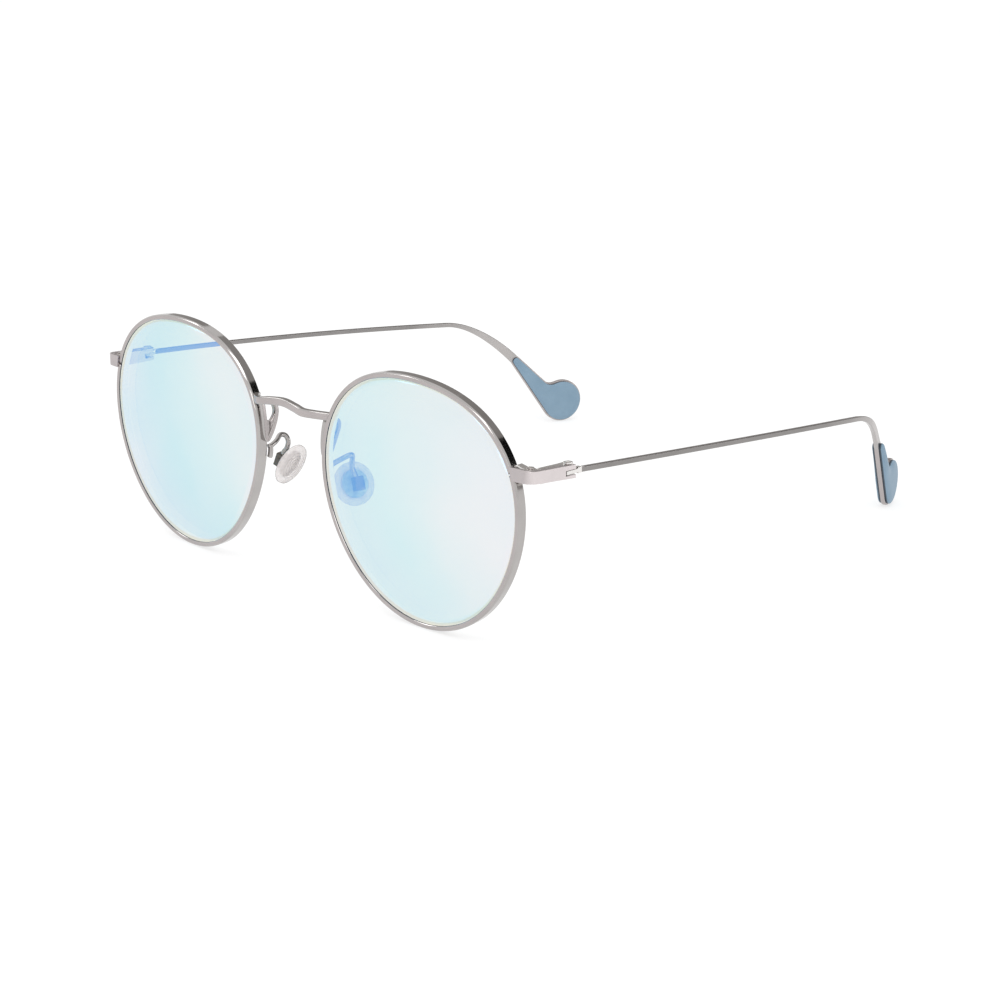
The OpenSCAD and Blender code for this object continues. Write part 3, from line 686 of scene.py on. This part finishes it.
def build_nose_pad(name, side):
    """Soft round pad, crowned on the nose side, with moulded grooves round its middle."""
    grooves = [(0.7, 0.16), (1.45, 0.2), (2.2, 0.22), (2.95, 0.2)]
    groove_half = 0.14
    crown_r, crown_drop, crown_steps, hub = PAD_R - 0.4, 0.42, 40, 0.02
    profile = [(0.05, 0.55), (2.95, 0.55), (3.0, 0.0), (PAD_R - 0.45, 0), (PAD_R - 0.2, 0.06), (PAD_R, 0.32),
               (PAD_R, 0.72), (PAD_R - 0.1, 1.0), (crown_r, PAD_THICK - crown_drop)]
    for k in range(1, crown_steps):
        r = crown_r * (1 - k / crown_steps)
        h = PAD_THICK - crown_drop * (r / crown_r) ** 2.6
        h -= sum(depth * math.exp(-((r - at) / groove_half) ** 2) for at, depth in grooves)
        profile.append((max(r, hub), h))
    turns = 64
    rings = []
    for k in range(turns):
        a = -math.tau * k / turns
        rings.append([pad_point(PAD_BACK - h, r * math.sin(a), r * math.cos(a)) for r, h in profile])
    verts, faces, places = skin(rings, loop=True)
    last = len(profile) - 1
    faces = [face for face, where in zip(faces, places) if where != last]
    inner = [k * len(profile) for k in range(turns)]
    outer = [k * len(profile) + last for k in range(turns)]
    faces += [tuple(inner[::-1]), tuple(outer)]
    places = [0] * len(faces)
    body = "pad_left" if side > 0 else "pad_right"
    piece = make_piece(name + "_soft", (verts, faces, places), side, body, name,
                       [SILICONES[side]], weighted=False)
    return piece


# ---------------------------------------------------------------- temples and tips


def wire_straight(s):
    p = WIRE_START.lerp(WIRE_END, s)
    arch = 4 * s * (1 - s)
    return p + Vector((BOW_OUT * arch, 0, BOW_UP * arch))


def tip_point(x, z, off=0.0):
    """Point of the tip's plane; off is towards the outside."""
    along = Vector((-math.sin(TOE_IN), math.cos(TOE_IN), 0))
    out = Vector((math.cos(TOE_IN), math.sin(TOE_IN), 0))
    return TIP_AT + x * along + Vector((0, 0, z)) + off * out


def wire_path():
    start = wire_straight(1)
    into = (start - wire_straight(0.97)).normalized()
    end = tip_point(STEM_C.x + 0.3, STEM_C.y - 0.3)
    down = (tip_point(0.69, -0.72) - tip_point(0, 0)).normalized()
    b, c = start + BEND_PULL * into, end - BEND_PULL * down
    path = [wire_straight(i / STRAIGHT_STEPS) for i in range(STRAIGHT_STEPS)]
    for i in range(BEND_STEPS + 1):
        t = i / BEND_STEPS
        k = 1 - t
        path.append(k ** 3 * start + 3 * k * k * t * b + 3 * k * t * t * c + t ** 3 * end)
    return path


class TipShape:
    """Outline of a tip, as the width on each side of the line from the stem to the bulb."""

    def __init__(self, grow):
        self.axis = (BULB_C - STEM_C).normalized()
        self.cross = Vector((-self.axis.y, self.axis.x))
        self.length = (BULB_C - STEM_C).length
        self.r0, self.r1, self.rf = STEM_R + grow, BULB_R + grow, NOTCH_R - grow
        lean = TOP_EDGE - math.atan2(self.axis.y, self.axis.x)
        self.top_along = Vector((math.cos(lean), math.sin(lean)))
        self.top_out = Vector((-self.top_along.y, self.top_along.x))
        bulb = Vector((self.length, 0))
        q = (self.r0 + self.rf) * self.top_out - bulb
        back = -q.dot(self.top_along)
        reach = back - math.sqrt(back ** 2 - q.dot(q) + (self.r1 + self.rf) ** 2)
        self.notch = (self.r0 + self.rf) * self.top_out + reach * self.top_along
        self.meet = bulb + self.r1 * (self.notch - bulb).normalized()
        self.front = math.asin((self.r1 - self.r0) / self.length)

    def above(self, a):
        if a < self.r0 * self.top_out.x:
            return math.sqrt(max(self.r0 ** 2 - a * a, 0))
        if a < self.notch.x - self.rf * self.top_out.x:
            return (self.r0 - a * self.top_out.x) / self.top_out.y
        if a < self.meet.x:
            return self.notch.y - math.sqrt(max(self.rf ** 2 - (a - self.notch.x) ** 2, 0))
        return math.sqrt(max(self.r1 ** 2 - (a - self.length) ** 2, 0))

    def below(self, a):
        s, c = math.sin(self.front), math.cos(self.front)
        if a < -self.r0 * s:
            return math.sqrt(max(self.r0 ** 2 - a * a, 0))
        if a < self.length - self.r1 * s:
            return (self.r0 + a * s) / c
        return math.sqrt(max(self.r1 ** 2 - (a - self.length) ** 2, 0))

    def at(self, a, b):
        """Outline coordinates of a point on the tip's own axes."""
        return STEM_C + a * self.axis + b * self.cross


def edge_distance(outline, point):
    best = 1e9
    for i in range(len(outline)):
        p, q = outline[i], outline[(i + 1) % len(outline)]
        edge = q - p
        size = edge.length_squared
        t = min(max((point - p).dot(edge) / size, 0), 1) if size > 1e-12 else 0
        best = min(best, (point - p - t * edge).length)
    return best


def tip_plate(grow, base, height, long_steps=84, cross_steps=24):
    """Grid over the outline, standing on height base; height gives its top from the distance to the edge.

    Its faces have place 0 on top and 1 on the skirt and floor."""
    shape = TipShape(grow)
    first, last = -shape.r0, shape.length + shape.r1
    stations = [lerp(first, last, ease(i / long_steps)) for i in range(long_steps + 1)]
    outline = [shape.at(a, shape.above(a)) for a in stations]
    outline += [shape.at(a, -shape.below(a)) for a in stations[-2:0:-1]]
    verts, faces = [], []
    for a in stations:
        up, down = shape.above(a), shape.below(a)
        for j in range(cross_steps + 1):
            p = shape.at(a, lerp(-down, up, ease(j / cross_steps)))
            verts.append((p, height(a, edge_distance(outline, p))))
    width = cross_steps + 1
    for i in range(long_steps):
        for j in range(cross_steps):
            faces.append((i * width + j, i * width + j + 1, (i + 1) * width + j + 1, (i + 1) * width + j))
    rim = [i * width for i in range(long_steps + 1)]
    rim += [i * width + cross_steps for i in range(long_steps - 1, 0, -1)]
    floor = len(verts)
    places = [0] * len(faces)
    verts += [(verts[i][0], base) for i in rim]
    for k in range(len(rim)):
        n = (k + 1) % len(rim)
        faces.append((rim[k], rim[n], floor + n, floor + k))
    faces.append(tuple(floor + k for k in range(len(rim))))
    return verts, faces, places + [1] * (len(rim) + 1)


def core_height(_, near):
    r = 0.14
    return CORE_THICK / 2 - r + math.sqrt(max(r * r - max(r - near, 0) ** 2, 0))


def pad_height(which):
    swell_from, swell_over = 3, 8

    def height(a, near):
        swell = min(max((a - swell_from) / swell_over, 0), 1)
        full = lerp(TIP_PAD_OVER_STEM[which], TIP_PAD_OVER_BULB[which], swell)
        away = 1 - min(near / TIP_PAD_REACH, 1)
        return CORE_THICK / 2 + TIP_PAD_EDGE + (full - TIP_PAD_EDGE) * math.sqrt(1 - away * away)

    return height


def tip_mesh(plate, sign):
    verts, faces, places = plate
    return [tip_point(p.x, p.y, sign * h) for p, h in verts], faces, places


def build_temple(name, side):
    """Flattened wire, its bend, and the flat core of the tip."""
    path = wire_path()
    stem_tall = 2 * (STEM_R + CORE_MARGIN) - 0.1

    def section(i):
        t = max(i - STRAIGHT_STEPS, 0) / BEND_STEPS
        t = t * t * (3 - 2 * t)
        points, _ = rectangle(lerp(WIRE_WIDE, CORE_THICK, t), lerp(WIRE_TALL, stem_tall, t), 0.2)
        return points

    wire = skin(sweep(path, section, (0, 0, 1)))
    core = [tip_mesh(tip_plate(CORE_MARGIN, 0, core_height), sign) for sign in (1, -1)]
    body = "temple_left" if side > 0 else "temple_right"

    def pick(where):
        if where == JOINED:
            return 2
        return 1 if where in FLATS_ON_Y else 0

    parts = join(wire, *[(v, f, [JOINED] * len(p)) for v, f, p in core])
    return make_piece(name + "_wire", parts, side, body, name,
                      [TEMPLE_SATIN, POLISHED, SATIN], pick)


def build_tip_pad(name, side, sign):
    plate = tip_plate(0, CORE_THICK / 2, pad_height("outer" if sign > 0 else "inner"))
    body = "temple_left" if side > 0 else "temple_right"
    # The rubber's skirt and floor take the painted shade.
    return make_piece(name + "_rubber", tip_mesh(plate, sign), side, body, name,
                      [TIP_RUBBER, TIP_RUBBER_PAINTED_SHADE], pick=lambda where: where, weighted=False)


# ---------------------------------------------------------------- CAD nodes that keep their shape


def finish_node(name, material, bevel):
    """Gives a CAD node its material and fine rounded edges."""
    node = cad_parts[name]
    node.data.materials.clear()
    node.data.materials.append(material)
    weld = node.modifiers.new("weld", "WELD")
    weld.merge_threshold = SAME_POINT
    flat = node.modifiers.new("flat", "DECIMATE")
    flat.decimate_type = "DISSOLVE"
    flat.angle_limit = math.radians(1)
    edges = node.modifiers.new("edges", "BEVEL")
    edges.width = bevel * MM
    edges.segments = 3
    edges.limit_method = "ANGLE"
    edges.angle_limit = math.radians(35)
    edges.harden_normals = True
    node.data.shade_smooth()


for side_name, side in SIDES.items():
    build_eyewire("eyewire_" + side_name, side)
    build_lens("lens_" + side_name, side).visible_shadow = False
    build_brace("nose_brace_" + side_name, side)
    build_arm("pad_arm_" + side_name, side)
    build_nose_pad("nose_pad_" + side_name, side)
    build_temple("temple_" + side_name, side)
    build_tip_pad("tip_pad_outer_" + side_name, side, 1)
    build_tip_pad("tip_pad_inner_" + side_name, side, -1)
    finish_node("end_piece_" + side_name, END_SATIN_PAINTED_LIGHT, 0.12)
    finish_node("pad_insert_" + side_name, INSERTS[side], 0.04)
    for name in ("closing_block_upper", "closing_block_lower", "closing_screw",
                 "hinge_fork", "hinge_screw", "hinge_tongue"):
        finish_node(f"{name}_{side_name}", HARDWARE_PAINTED_LIGHT, 0.05)
    for name in ("pad_box", "pad_screw"):
        finish_node(f"{name}_{side_name}", PAD_HARDWARE_PAINTED_SHADE, 0.05)
build_bridge()


# ---------------------------------------------------------------- floor, light and camera


def sheet(name, x, y):
    mesh = bpy.data.meshes.new(name)
    mesh.from_pydata([(-x, -y, 0), (x, -y, 0), (x, y, 0), (-x, y, 0)], [], [(0, 1, 2, 3)])
    return mesh


def add_card(name, at, towards, size, glow):
    """Flat card that shows in reflections but not to the camera."""
    mesh = sheet(name, size[0] / 2, size[1] / 2)
    card = bpy.data.objects.new(name, mesh)
    card.location = at
    card.rotation_euler = (Vector(towards) - Vector(at)).to_track_quat("Z", "Y").to_euler()
    card.visible_camera = False
    card.visible_diffuse = False
    card.visible_shadow = False
    bpy.context.scene.collection.objects.link(card)
    material, nodes, links, output = new_material(name + "_paint")
    shader = nodes.new("ShaderNodeEmission")
    shader.inputs["Color"].default_value = (*glow, 1)
    links.new(shader.outputs["Emission"], output.inputs["Surface"])
    mesh.materials.append(material)


def build_stage():
    """White floor, partly self-lit so that shadows stay faint, in a white world."""
    floor_mesh = sheet("floor", FLOOR_HALF, FLOOR_HALF)
    floor = bpy.data.objects.new("floor", floor_mesh)
    floor.location.z = -FLOOR_DROP * MM
    bpy.context.scene.collection.objects.link(floor)
    material, nodes, links, output = new_material("floor_white")
    shader = nodes.new("ShaderNodeBsdfDiffuse")
    shader.inputs["Color"].default_value = (*grey(0.35), 1)
    glow = nodes.new("ShaderNodeEmission")
    glow.inputs["Strength"].default_value = 0.68
    both = nodes.new("ShaderNodeAddShader")
    links.new(shader.outputs["BSDF"], both.inputs[0])
    links.new(glow.outputs["Emission"], both.inputs[1])
    links.new(both.outputs["Shader"], output.inputs["Surface"])
    floor_mesh.materials.append(material)

    world = bpy.data.worlds.new("studio")
    world.use_nodes = True
    world.node_tree.nodes["Background"].inputs["Color"].default_value = (1, 1, 1, 1)
    world.node_tree.nodes["Background"].inputs["Strength"].default_value = 1.0
    bpy.context.scene.world = world


def add_area(name, at, towards, size, power):
    light = bpy.data.lights.new(name, "AREA")
    light.size = size
    light.energy = power
    lamp = bpy.data.objects.new(name, light)
    lamp.location = at
    lamp.rotation_euler = (Vector(towards) - Vector(at)).to_track_quat("-Z", "Y").to_euler()
    bpy.context.scene.collection.objects.link(lamp)


def build_camera():
    """Long lens, a little above the glasses, on their left front quarter."""
    at = place(CAMERA_AT, 1)
    yaw, pitch, roll = CAMERA_YAW, CAMERA_PITCH, CAMERA_ROLL
    forward = Vector((-math.sin(yaw) * math.cos(pitch), math.cos(yaw) * math.cos(pitch), math.sin(pitch)))
    right = Vector((math.cos(yaw), math.sin(yaw), 0))
    up = right.cross(forward)
    right, up = (right * math.cos(roll) + up * math.sin(roll), up * math.cos(roll) - right * math.sin(roll))
    data = bpy.data.cameras.new("camera")
    data.sensor_width = 36
    data.lens = CAMERA_LENS
    data.clip_start = 0.01
    camera = bpy.data.objects.new("camera", data)
    turn = Matrix((right, up, -forward)).transposed().to_4x4()
    camera.matrix_world = Matrix.Translation(at) @ turn
    bpy.context.scene.collection.objects.link(camera)
    bpy.context.scene.camera = camera


build_stage()
add_card("card_back", (0, 1.5, 0.72), CENTRE, (5.2, 1.35), (0.4, 0.385, 0.375))
add_card("card_over", (0.3, 0.95, 1.5), CENTRE, (2.2, 0.8), (0.42, 0.41, 0.4))
add_card("card_black", (0.72, 0.75, 0.6), CENTRE, (0.62, 0.5), grey(0.01))
add_card("glow_side", (0.8, 0.62, 0.26), CENTRE, (0.3, 0.2), grey(4))
add_card("glow_left", (-0.9, -0.38, 0.92), CENTRE, (0.6, 0.4), grey(4))
add_card("glow_front", (0.85, -0.95, 0.52), CENTRE, (0.5, 0.4), grey(2.6))
add_area("key", (0.3, -0.5, 0.9), (0, 0, 0.02), 0.5, 2)
build_camera()
bpy.context.scene.view_settings.view_transform = "Standard"
